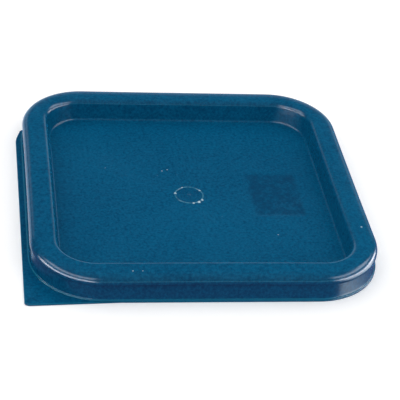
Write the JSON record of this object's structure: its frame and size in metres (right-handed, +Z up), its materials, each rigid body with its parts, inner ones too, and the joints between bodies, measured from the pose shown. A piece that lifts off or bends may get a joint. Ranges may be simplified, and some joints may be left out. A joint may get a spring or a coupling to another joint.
{
  "type": "square food container lid",
  "caption": "Square press-on lid of a food storage container: broad rounded rim, recessed floor, channel underneath for the container rim, and a lift tab at one corner.",
  "frame": {"origin": "the lid's centre in plan, in the plane of the skirt's bottom edge, which is the mouth of the rim channel", "axes": "+Z up, out of the well; +X to the right and -Y to the front, so that the lift tab points to the -X -Y corner"},
  "size_m": [0.2985, 0.2973, 0.025],
  "materials": {
    "lid_plastic": "satin moulded polyethylene, teal blue"
  },
  "bodies": {
    "root": {"lid": "lid_plastic"}
  },
  "joints": []
}
